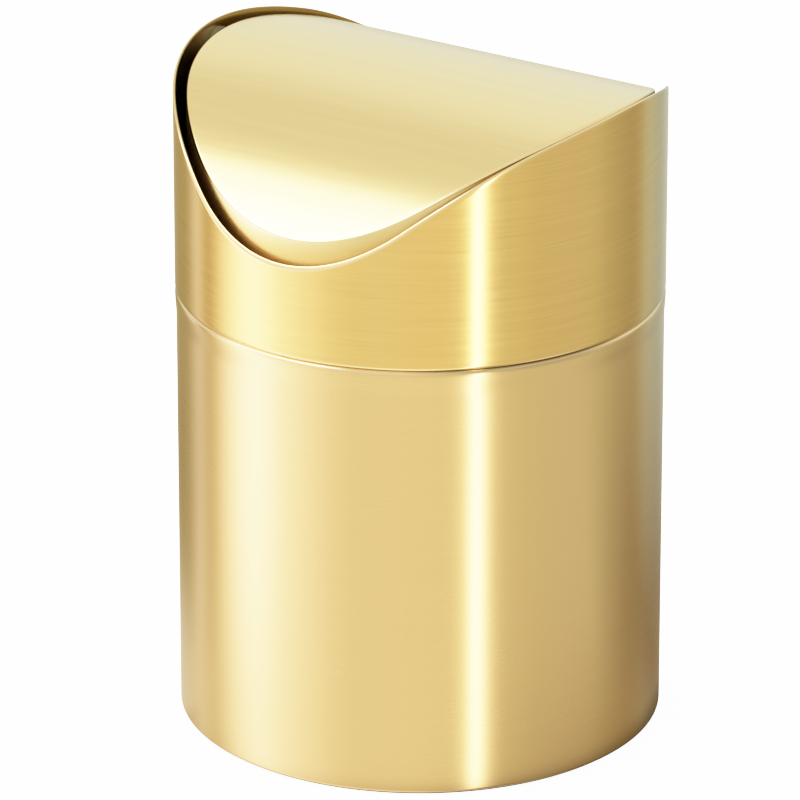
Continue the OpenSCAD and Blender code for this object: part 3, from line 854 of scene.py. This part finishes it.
def make_bench_sheen():
    """A glowing ring that paints what the walls see of the bench round the can: painted light,
    paler towards the light, painted shade on the other side and a painted shadow at the foot.
    Only reflections see it. Fades over r are in metres; side and back tell how far a point lies
    to the camera's right and behind the can, from -1 to 1."""
    turns = SHEEN_TURNS
    points = [on_circle(r, k, turns, SHEEN_Z) for r in SHEEN_RINGS for k in range(turns)]
    faces = [(i * turns + k, i * turns + (k + 1) % turns, (i + 1) * turns + (k + 1) % turns,
              (i + 1) * turns + k) for i in range(len(SHEEN_RINGS) - 1) for k in range(turns)]
    mesh = bpy.data.meshes.new("bench_sheen")
    mesh.from_pydata(points, [], faces)
    material, tree = finish_material("bench_sheen_soft")
    x, y, _ = tree.split(tree.own_coords())
    r = (x * x + y * y).sqrt()
    right = Vector((-CAMERA_AT.y, CAMERA_AT.x)).normalized()
    side = (x * right.x + y * right.y) / r
    back = (y * right.x - x * right.y) / r
    lit = back.fade(-0.45, 1 / 3) * side.fade(0.0, -0.5) * r.fade(0.14, -0.06) * 0.74
    front = side.fade(0.0, -1.0) * back.fade(1 / 3, -1 / 3) * r.fade(0.20, -0.12) * 0.5
    shaded = ((side * 0.45 + back * 1.8 + 0.1).clamped() * (side * 0.14 + 0.66)
              * r.fade(0.33, -0.20) * (r + side * 0.075).fade(0.09, 0.07))
    # Painted shade, warm, on the right close to the can
    warm_shade = r.fade(0.15, -0.08) * side.clamped() * 0.55
    foot = r.fade(0.0675, -0.006) * (side * 0.4 + 0.45).clamped()
    stack = tree.node("ShaderNodeBsdfTransparent")
    for share, tone in ((lit.math("MAXIMUM", front), LIT_BENCH), (shaded, SHADED_BENCH),
                        (warm_shade, WARM_BENCH_SHADE), (foot, FOOT_SHADOW)):
        glow = tree.node("ShaderNodeEmission", None, {"Color": tone, "Strength": 1.0})
        stack = tree.node("ShaderNodeMixShader", None,
                          {0: share, 1: stack.outputs[0], 2: glow.outputs[0]})
    tree.node("ShaderNodeOutputMaterial", None, {"Surface": stack.outputs[0]})
    mesh.materials.append(material)
    sheen = bpy.data.objects.new("bench_sheen", mesh)
    sheen.visible_camera = False
    sheen.visible_diffuse = False
    bpy.context.scene.collection.objects.link(sheen)


TONE_WHITE, TONE_KNEE = 4.0, 3  # brightest level kept, and how late and sharp the shoulder is
TONE_STOPS = (0.0, 0.1, 0.2, 0.3, 0.4, 0.5, 0.6, 0.7, 0.8, 0.9, 1.0, 1.15, 1.3, 1.5, 1.75, 2.0, 2.4,
              3.0, 4.0)


def set_tone():
    """A soft shoulder, as a camera gives: bright brass turns creamy before it clips."""
    def shoulder(level):
        return level / (1 + level ** TONE_KNEE) ** (1 / TONE_KNEE)

    view = bpy.context.scene.view_settings
    view.view_transform = "Standard"
    view.look = "None"
    view.use_curve_mapping = True
    mapping = view.curve_mapping
    mapping.extend = "HORIZONTAL"
    mapping.white_level = (TONE_WHITE,) * 3
    curve = mapping.curves[3]
    while len(curve.points) < len(TONE_STOPS):
        curve.points.new(0.5, 0.5)
    for point, level in zip(curve.points, TONE_STOPS):
        point.location = (level / TONE_WHITE, shoulder(level) / shoulder(TONE_WHITE))
    mapping.update()


# ---------------------------------------------------------------- build
def comb_along_pivot(lid):
    """The brushing on the lid runs along the pivot axis: its texture space sits far to one side,
    so that the turning direction read from it is the same all over."""
    lid.data.use_auto_texspace = False
    lid.data.texspace_location = (0, -40, 0)
    lid.data.texspace_size = (1, 1, 1)


def main():
    make_camera()
    set_tone()
    make_light()
    make_floor()
    make_bench_sheen()

    around, along_x = (True, True, False), (True, False, False)
    can_brass = brushed_brass("can_brass", (0.92, 0.605, 0.248), around, 1400.0, 0.05,
                              joint=True)
    collar_brass = brushed_brass("collar_brass", (0.92, 0.575, 0.185), around, 1700.0, 0.22,
                                 rough=0.22)
    lid_brass = brushed_brass("lid_brass", (0.90, 0.665, 0.285), along_x, 1700.0, 0.10,
                              rough=0.20, stretch=0.6, flare=math.tan(math.radians(14)))
    base_brass = pressed_brass("base_brass", (0.80, 0.60, 0.30))
    rubber = moulded("foot_rubber_black", (0.022, 0.021, 0.020), 0.75, 2600.0, 0.00004)
    black_plastic = moulded("ring_plastic_black", (0.035, 0.034, 0.033), 0.5, 3200.0, 0.00002)
    nylon = moulded("bush_nylon", (0.74, 0.72, 0.66), 0.42, 3600.0, 0.00001)
    steel = turned_steel("pin_steel_turned", (0.62, 0.61, 0.60))

    turned, arched = turned_sheet_tree(), arched_lid_tree()
    # Drawn pieces: name, tree, rows, facets, finish, body, the node they replace, slot
    drawn = [
        ("can_wall_sheet", turned, can_wall_rows(), SIDES, can_brass,
         "can", "can_wall", "can_metal"),
        ("can_base_pressing", turned, base_rows(), BASE_SIDES, base_brass,
         "can", "can_base", "base_metal"),
        ("foot_ring_moulding", turned, foot_rows(), FOOT_SIDES, rubber,
         "can", "foot_ring", "foot_rubber"),
        ("collar_sheet", turned, collar_rows(), SIDES, collar_brass,
         "collar", "collar_shell", "can_metal"),
        ("locating_ring_moulding", turned, locating_ring_rows(), RING_SIDES, black_plastic,
         "collar", "collar_ring", "ring_plastic"),
        ("swing_lid_sheet", arched, lid_rows(), LID_SIDES, lid_brass,
         "lid", "swing_lid", "can_metal")]
    pieces = [build(name, group, rows, {"Sides": sides, "Material": finish})
              for name, group, rows, sides, finish, *_ in drawn]
    lid = pieces[-1]
    drill_for_bushes(lid)
    comb_along_pivot(lid)
    for piece, (*_, body, node, slot) in zip(pieces, drawn):
        place_piece(piece, body, node)

    # The small solids at both pivots keep their meshes
    for side in ("left", "right"):
        for node, finish, slot in (("stud_", steel, "pin_steel"), ("clip_", steel, "pin_steel"),
                                   ("bush_", nylon, "bush_plastic")):
            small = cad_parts[node + side]
            small.data.materials.clear()
            small.data.materials.append(finish)


main()
